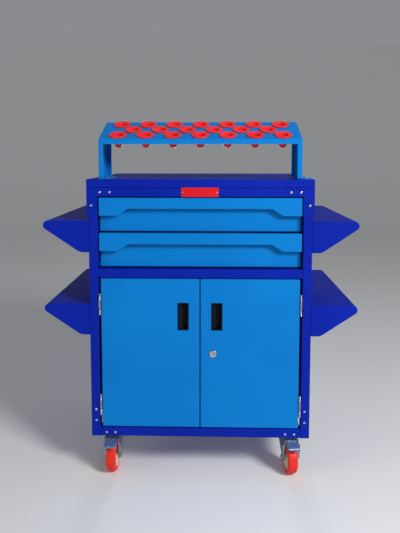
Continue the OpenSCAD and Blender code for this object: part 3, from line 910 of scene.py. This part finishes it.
def corners_of(x0, x1, z0, z1, inset=0.0):
    left, right, bottom, top = x0 + inset, x1 - inset, z0 + inset, z1 - inset
    return [(left, bottom), (right, bottom), (right, top), (left, top)]


def ring(y, outer, inner):
    return [front_view(y, [outer[i], outer[(i + 1) % 4], inner[(i + 1) % 4], inner[i]]) for i in range(4)]


for hand in ("left", "right"):
    low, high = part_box(hand + "_door")
    pull_low, pull_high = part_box(hand + "_door_pull")
    outer = corners_of(low.x, high.x, low.z, high.z)
    slot = corners_of(pull_low.x, pull_high.x, pull_low.z, pull_high.z, SLOT_INSET)
    pan = ring(low.y, outer, slot) + ring(high.y, outer, corners_of(low.x, high.x, low.z, high.z, DOOR_LIP))
    pan += [wall_x(x, low.y, high.y, low.z, high.z) for x in (low.x, high.x)]
    pan += [level(z, low.x, high.x, low.y, high.y) for z in (low.z, high.z)]
    sheet_piece(hand + "_door_pan", [fold_sheet(pan, FOLD)], THIN_SHEET, hand + "_door")
print("two door pans folded")

# %% [markdown]
# ## Recessed pulls
# The pull is a black moulding pushed into the slot: a thin flat border outside, and inside it a
# pocket with a ramp on one half, where the fingers slide in, and a deeper half to hook behind.
# It is a loft through rectangles: from the back of the pocket, out round the border and in again
# to the floor. The ramp is a wedge of its own, set into the pocket.

# %% Pulls
RAMP_SHARE = 0.47
RAMP_START = 3.6 * MM

for hand in ("left", "right"):
    low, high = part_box(hand + "_door_pull")
    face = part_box(hand + "_door")[0].y

    def frame_at(inset, y, radius):
        corners = corners_of(low.x, high.x, low.z, high.z, inset)
        return front_view(y, rounded(corners, [radius] * 4, 3))

    body = [frame_at(2 * MM, high.y, 2 * MM), frame_at(2 * MM, face, 2 * MM)]
    border = [
        frame_at(0, face, 2.5 * MM), frame_at(0, low.y + 0.5 * MM, 2.5 * MM),
        frame_at(0.5 * MM, low.y, 2.2 * MM), frame_at(3.2 * MM, low.y, 2 * MM),
        frame_at(3.7 * MM, low.y + 0.6 * MM, 1.8 * MM),
    ]
    well = [frame_at(4 * MM, high.y - 3 * MM, 1.5 * MM), frame_at(5 * MM, high.y - 1.8 * MM, 1 * MM)]
    pocket = loft(body + border + well)
    ramp_x = low.x + RAMP_SHARE * (high.x - low.x)
    start_x = low.x + RAMP_START
    floor_y = high.y - 1 * MM
    outline = [
        (start_x, face + 3 * MM), (ramp_x - 2 * MM, face + 6.5 * MM),
        (ramp_x, face + 9 * MM), (ramp_x, floor_y), (start_x, floor_y),
    ]
    ramp = loft([[Vector((x, y, z)) for x, y in outline] for z in (low.z + 4 * MM, high.z - 4 * MM)])
    make_piece(hand + "_pull_moulding", joined([pocket, ramp]), hand + "_door_pull", edge=0.4 * MM)
print("two pulls moulded")

# %% [markdown]
# ## Lock rosette
# The lock's rosette is turned brass under nickel: a rounded ring around the barrel. It is drawn on
# a lathe, with the profile closed on itself so that the barrel shows through its middle.

# %% Lock rosette
lock_low, lock_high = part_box("lock_body")
lock_axis = (lock_low + lock_high) / 2
into_door = Matrix.Translation((lock_axis.x, 0, lock_axis.z)) @ Matrix.Rotation(math.radians(-90), 4, "X")
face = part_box("right_door")[0].y
rosette = [(6.6, 17.4), (9, 17.4), (9, 0), (11, 0), (11, -1.1)]
rosette += arc(9.6, -1.1, 1.4, 0, -90, 4) + arc(8.0, -1.7, 0.8, -90, -180, 3) + [(6.6, -1.0)]
turned = lathe([(radius * MM, face + height * MM) for radius, height in rosette], 48, into_door, closed=True)
make_piece("lock_rosette", turned, "lock_body", edge=0)
print("rosette on the lock's axis at", [round(v, 3) for v in lock_axis])

# %% [markdown]
# ## Blank plate
# The small red plate on the top rail is left blank. A raised border and rounded corners are pressed
# into it, which a loft of shrinking outlines gives.

# %% Blank plate
PLATE_CORNER = 2.4 * MM
low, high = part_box("blank_plate")


def plate_ring(inset, y):
    corners = corners_of(low.x, high.x, low.z + 0.5 * MM, high.z, inset)
    return front_view(y, rounded(corners, [PLATE_CORNER - inset] * 4, 4))


pressed = loft([
    plate_ring(0, high.y), plate_ring(0, low.y + 0.3 * MM), plate_ring(0.3 * MM, low.y),
    plate_ring(1.5 * MM, low.y), plate_ring(1.9 * MM, low.y + 0.5 * MM),
])
make_piece("pressed_plate", pressed, "blank_plate", edge=0)
print("plate pressed,", round((high.x - low.x) / MM), "mm wide")

# %% [markdown]
# ## Finding the fasteners
# All the screws, rivets and bolts are solids of one CAD node, so we first walk over its mesh, from
# point to joined point, to find where each one sits and how large it is.

# %% Find the separate solids
def solids_of(node):
    """The low and high corners of each separate solid in a CAD node."""
    mesh = bmesh.new()
    mesh.from_mesh(nodes[node].data)
    bmesh.ops.remove_doubles(mesh, verts=mesh.verts, dist=0.00001)
    unseen = set(mesh.verts)
    found = []
    while unseen:
        patch, stack = [], [unseen.pop()]
        while stack:
            vert = stack.pop()
            patch.append(vert.co.copy())
            for edge in vert.link_edges:
                other = edge.other_vert(vert)
                if other in unseen:
                    unseen.discard(other)
                    stack.append(other)
        found.append((Vector(map(min, zip(*patch))), Vector(map(max, zip(*patch)))))
    mesh.free()
    return sorted(found, key=lambda pair: tuple(round(v, 5) for v in pair[0]))


print("screws, rivets and bolts to make:", len(solids_of("frame_screws")))

# %% [markdown]
# ## Three kinds of head
# The pan-head screws have a cross recess, the plate's rivets are plain domes, and the rack and
# castor bolts are hexagons with a chamfered top: a lathe of only six steps. The recess is slow to
# cut, so one screw head is cut once and copied from then on.

# %% Three kinds of head
def cross_head(radius, height):
    dome = [(0, 0), (radius, 0), (radius, 0.25 * height)]
    dome += [(radius * math.cos(a), height * (0.25 + 0.75 * math.sin(a))) for a in (0.3, 0.6, 0.9, 1.2)]
    dome += [(0, height)]
    blank = as_object("screw head", lathe(dome, 32))
    arm, half = 0.52 * radius, 0.1 * radius
    star = [
        (arm, -half), (arm, half), (half, half), (half, arm), (-half, arm), (-half, half),
        (-arm, half), (-arm, -half), (-half, -half), (-half, -arm), (half, -arm), (half, -half),
    ]
    cut(blank, loft([[Vector((x, y, z)) for x, y in star] for z in (0.45 * height, 1.2 * height)]))
    finished = blank.data
    bpy.data.objects.remove(blank)
    return finished


def bolt_head(radius, height):
    profile = [(0, 0), (radius, 0), (radius, 0.78 * height), (0.86 * radius, height), (0, height)]
    return lathe(profile, 6)


def rivet_head(radius, height):
    climb = [math.pi / 8 * i for i in range(5)]
    return lathe([(0, 0)] + [(radius * math.cos(a), height * math.sin(a)) for a in climb], 20)


PAN_RADIUS = 4.6 * MM
PAN_HEIGHT = 2.0 * MM
pan_mesh = cross_head(PAN_RADIUS, PAN_HEIGHT)
print("pan head cut once:", len(pan_mesh.polygons), "faces")

# %% [markdown]
# ## Setting every head
# A fastener's thin direction is its axis, and its size says which kind it is: upright ones are
# bolts, very small ones are rivets, the rest are screws. Each screw is turned differently, as no
# one lines up the crosses by hand.

# %% Place the heads
HEAD_SHARE = 0.8
RIVET_LIMIT = 3 * MM
TURN_STEP = 0.9
heads = []
for low, high in solids_of("frame_screws"):
    size = high - low
    axis = min(range(3), key=lambda i: size[i])
    centre = (low + high) / 2
    outward = 1 if centre[axis] > (0 if axis == 1 else 0.5) else -1
    direction = Vector([outward if i == axis else 0 for i in range(3)])
    seat = centre - direction * size[axis] / 2
    place = Matrix.Translation(seat) @ direction.to_track_quat("Z", "Y").to_matrix().to_4x4()
    radius = max(size) / 2
    if axis == 2:
        head = bolt_head(radius, size[axis])
    elif radius < RIVET_LIMIT:
        head = rivet_head(radius, size[axis])
    else:
        head = bmesh.new()
        head.from_mesh(pan_mesh)
        head.transform(Matrix.Scale(HEAD_SHARE, 4))
    turn = Matrix.Rotation(TURN_STEP * len(heads), 4, "Z") if axis != 2 else Matrix.Identity(4)
    head.transform(place @ turn)
    heads.append(head)
print("screw, rivet and bolt heads:", len(heads))
make_piece("screw_heads", joined(heads), "frame_screws", edge=0.12 * MM, material=nickel)

# %% [markdown]
# ## Castors
# A castor has a fork under a top plate, a wheel with a cream nylon centre inside a red tread, and
# on the front pair a brake pedal. All are drawn around the swivel axis and then turned as the
# castor stands; the roll joint's axis says how far. Drawing them in one place and moving them with
# a matrix means that four castors need only one set of sizes.

# %% Castor sizes and places
CORNERS = ("front_left", "front_right", "rear_left", "rear_right")
CROWN_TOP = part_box("rear_left_fork")[1].z
TRAIL = 30 * MM
WHEEL_RADIUS = 50 * MM
AXLE_ALONG_X = Matrix.Translation((0, -TRAIL, WHEEL_RADIUS)) @ Matrix.Rotation(math.radians(90), 4, "Y")


def castor_frame(corner):
    pivot = joints[corner + "_swivel"]["pos_m"]
    roll = joints[corner + "_roll"]["axis"]
    return Matrix.Translation((pivot[0], pivot[1], 0)) @ Matrix.Rotation(math.atan2(roll[1], roll[0]), 4, "Z")


print("castors stand", round(CROWN_TOP / MM), "mm high to the crown, trail", TRAIL / MM, "mm")

# %% [markdown]
# ## Castor forks
# The fork is a stamping: a crown with two legs bent down from it, tapering to a rounded foot at the
# axle, with a flange turned out along the front edge to stiffen it. The braked forks reach further
# forward, to hold the pedal. It turns on a ring of balls, so a domed race sits under the plate.

# %% Forks
LEG_X = 23 * MM
LEG_SHEET = 2.5 * MM
LEG_FOOT = 13 * MM
LEG_FOLD = 3.0 * MM
FLANGE = 6 * MM
CROWN_BACK = 26 * MM
REACH = {"front": 24 * MM, "rear": 6 * MM}
RACE = [(0, 109.5), (22, 109.5), (27, 111.5), (28, 113.5), (28, 118), (0, 118)]


def fork_stamping(reach):
    front = -(TRAIL + reach)
    foot = arc(-TRAIL, WHEEL_RADIUS, LEG_FOOT, 15, -195, 12)
    shin = (front + 5 * MM, CROWN_TOP - 16 * MM)
    leg = [(CROWN_BACK, CROWN_TOP), (CROWN_BACK, CROWN_TOP - 22 * MM)] + foot
    leg += [shin, (front, CROWN_TOP - 8 * MM), (front, CROWN_TOP)]
    panels = [level(CROWN_TOP, -LEG_X, LEG_X, front, CROWN_BACK)]
    panels += [side_view(x, leg) for x in (-LEG_X, LEG_X)]
    for side in (-1, 1):
        inner, outer = side * LEG_X, side * (LEG_X + FLANGE)
        flange = ((inner, foot[-1]), (outer, foot[-1]), (outer, shin), (inner, shin))
        panels.append([Vector((x, y, z)) for x, (y, z) in flange])
    return fold_sheet(panels, LEG_FOLD)


print("a leg is", LEG_SHEET / MM, "mm thick, with a", FLANGE / MM, "mm flange")

# %% [markdown]
# ## Wheels
# The tread is a lathe of one closed outline, with rounded shoulders and a chamfer where it grips
# the centre. The centre is turned as well, with a thin web between hub and rim, and ten ribs on
# each face keep that web stiff. The ribs are small lofts, each turned round the axle.

# %% Wheels
HUB_RADIUS = 36 * MM
TREAD_HALF = 16 * MM
SHOULDER = 7.5 * MM
RIBS = 10
RIB_FOOT = 11 * MM
RIB_TIP = 31 * MM
RIB_DEPTHS = (7 * MM, 12.5 * MM)


def tread():
    crown = WHEEL_RADIUS - SHOULDER
    profile = [(HUB_RADIUS, -TREAD_HALF + 1 * MM), (HUB_RADIUS + 2 * MM, -TREAD_HALF), (crown, -TREAD_HALF)]
    profile += arc(crown, SHOULDER - TREAD_HALF, SHOULDER, -75, 0, 5)
    profile += arc(crown, TREAD_HALF - SHOULDER, SHOULDER, 0, 75, 5)
    profile += [(crown, TREAD_HALF), (HUB_RADIUS + 2 * MM, TREAD_HALF)]
    profile += [(HUB_RADIUS, TREAD_HALF - 1 * MM)]
    return lathe(profile, 72, AXLE_ALONG_X, closed=True)


def wheel_centre():
    profile = [(6.1, -17.6), (11, -17.6), (12, -16.6), (12.6, -9), (14, -8), (28, -8), (30, -9), (32, -14)]
    profile += [(33, -15), (36, -15), (36, 15), (33, 15), (32, 14), (30, 9), (28, 8), (14, 8), (12.6, 9)]
    profile += [(12, 16.6), (11, 17.6), (6.1, 17.6)]
    turned = lathe([(radius * MM, height * MM) for radius, height in profile], 60, AXLE_ALONG_X, closed=True)
    outline = [(RIB_FOOT, -1.1 * MM), (RIB_TIP, -0.9 * MM), (RIB_TIP, 0.9 * MM), (RIB_FOOT, 1.1 * MM)]
    ribs = []
    for i in range(RIBS):
        for side in (-1, 1):
            rib = loft([[Vector((x, y, side * depth)) for x, y in outline] for depth in RIB_DEPTHS])
            rib.transform(AXLE_ALONG_X @ Matrix.Rotation(2 * math.pi * i / RIBS, 4, "Z"))
            ribs.append(rib)
    return joined([turned] + ribs)


print("a wheel is", 2 * WHEEL_RADIUS / MM, "mm across, with", RIBS, "ribs a side")

# %% [markdown]
# ## Standing the castors in place
# Each castor's parts are made about the origin and moved by its own frame. The fork and its race
# ride on the castor's body and the tread and centre on the wheel's, which is looked up from the
# CAD node that each one stands in for.

# %% Four castors
for corner in CORNERS:
    place = castor_frame(corner)
    stamping = fork_stamping(REACH[corner.split("_")[0]])
    sheet_piece(corner + "_fork_stamping", [stamping], LEG_SHEET, corner + "_fork", place=place)
    dish = lathe([(radius * MM, height * MM) for radius, height in RACE], 48)
    make_piece(corner + "_race", dish, corner + "_fork", edge=0.4 * MM, place=place)
    make_piece(corner + "_tread", tread(), corner + "_tyre", edge=0, place=place)
    make_piece(corner + "_wheel_centre", wheel_centre(), corner + "_hub", edge=0.4 * MM, place=place)
print("four castors made")

# %% [markdown]
# ## Brake pedals
# The pedal is stamped from thinner zinc strip with a blue cast. Its tread slopes down to the front
# and curls under at the tip, so the side view is a short line with an arc. The cheeks on both
# sides carry it on the fork's cross pin.

# %% Pedal sheet
PEDAL_SHEET = 2 * MM
PEDAL_FOLD = 1.8 * MM
PEDAL_HALF = 18.2 * MM
PEDAL_TIP = 88.3 * MM
CURL = 5 * MM
CURL_Z = 102.4 * MM
BEHIND_PIN = 4
BEND_AHEAD = 14
TREAD_START = 117.5 * MM
TREAD_BEND = 113.4 * MM


def pedal_sheet(pin_y):
    """The tread with its curled lip, and a cheek on each side."""
    tread_line = [
        (pin_y + BEHIND_PIN * MM, TREAD_START), (pin_y - BEND_AHEAD * MM, TREAD_BEND),
        (pin_y - 17 * MM, 112 * MM),
    ]
    tread_line += arc(CURL - PEDAL_TIP, CURL_Z, CURL, 78, 205, 8)
    strips = []
    for (y0, z0), (y1, z1) in zip(tread_line, tread_line[1:]):
        start, end = (Vector((-PEDAL_HALF, y, z)) for y, z in ((y0, z0), (y1, z1)))
        across = Vector((2 * PEDAL_HALF, 0, 0))
        strips.append([start, end, end + across, start + across])
    cheek = tread_line[:4]
    cheek += [(9 * MM - PEDAL_TIP, 100 * MM), (pin_y - 8 * MM, 99 * MM)]
    cheek += [(pin_y, 104 * MM), (pin_y + 4 * MM, 106 * MM)]
    return fold_sheet(strips + [side_view(x, cheek) for x in (-PEDAL_HALF, PEDAL_HALF)], PEDAL_FOLD)


print("a pedal is", 2 * PEDAL_HALF / MM, "mm wide")

# %% [markdown]
# ## Pedal ribs, shoe and pin
# Three raised ribs across the tread keep a boot from slipping. Below it hang the shoe that meets
# the wheel and the boss around the cross pin. They are solid lumps beside the sheet, so they are a
# piece of their own.

# %% Pedals
PIN_BOSS = 5 * MM
RIB_STEPS = (3, 8, 13)


def pedal_bars(pin_y, pin_z):
    """Ribs across the tread, the shoe below it, and the boss around the cross pin."""
    bars = []
    turns = [math.pi * k / 4 for k in range(8)]
    fall = (TREAD_START - TREAD_BEND) / (BEHIND_PIN + BEND_AHEAD)
    for step in RIB_STEPS:
        y, z = pin_y + (BEHIND_PIN - step) * MM, TREAD_START - fall * step
        oval = [(y + 1.2 * MM * math.cos(a), z + 0.9 * MM * math.sin(a)) for a in turns]
        bars.append(loft([side_view(x, oval) for x in (4 * MM - PEDAL_HALF, PEDAL_HALF - 4 * MM)]))
    y0, y1 = pin_y - 13 * MM, pin_y - 3 * MM
    shoe = [(y0, 98 * MM), (y1, 98 * MM), (y1, 110 * MM), (y0, 110 * MM)]
    bars.append(loft([side_view(x, shoe) for x in (-11 * MM, 11 * MM)]))
    across_pin = Matrix.Translation((0, pin_y, pin_z)) @ Matrix.Rotation(math.radians(90), 4, "Y")
    bars.append(lathe([(PIN_BOSS, 2 * MM - PEDAL_HALF), (PIN_BOSS, PEDAL_HALF - 2 * MM)], 24, across_pin))
    return joined(bars)


for corner in ("front_left", "front_right"):
    place = castor_frame(corner)
    pin = place.inverted() @ Vector(joints[corner + "_brake_press"]["pos_m"])
    node = corner + "_pedal"
    sheet_piece(node + "_stamping", [pedal_sheet(pin.y)], PEDAL_SHEET, node, place=place, material=zinc_blue)
    make_piece(node + "_bars", pedal_bars(pin.y, pin.z), node, place=place, material=zinc_blue)
print("two brake pedals stamped")
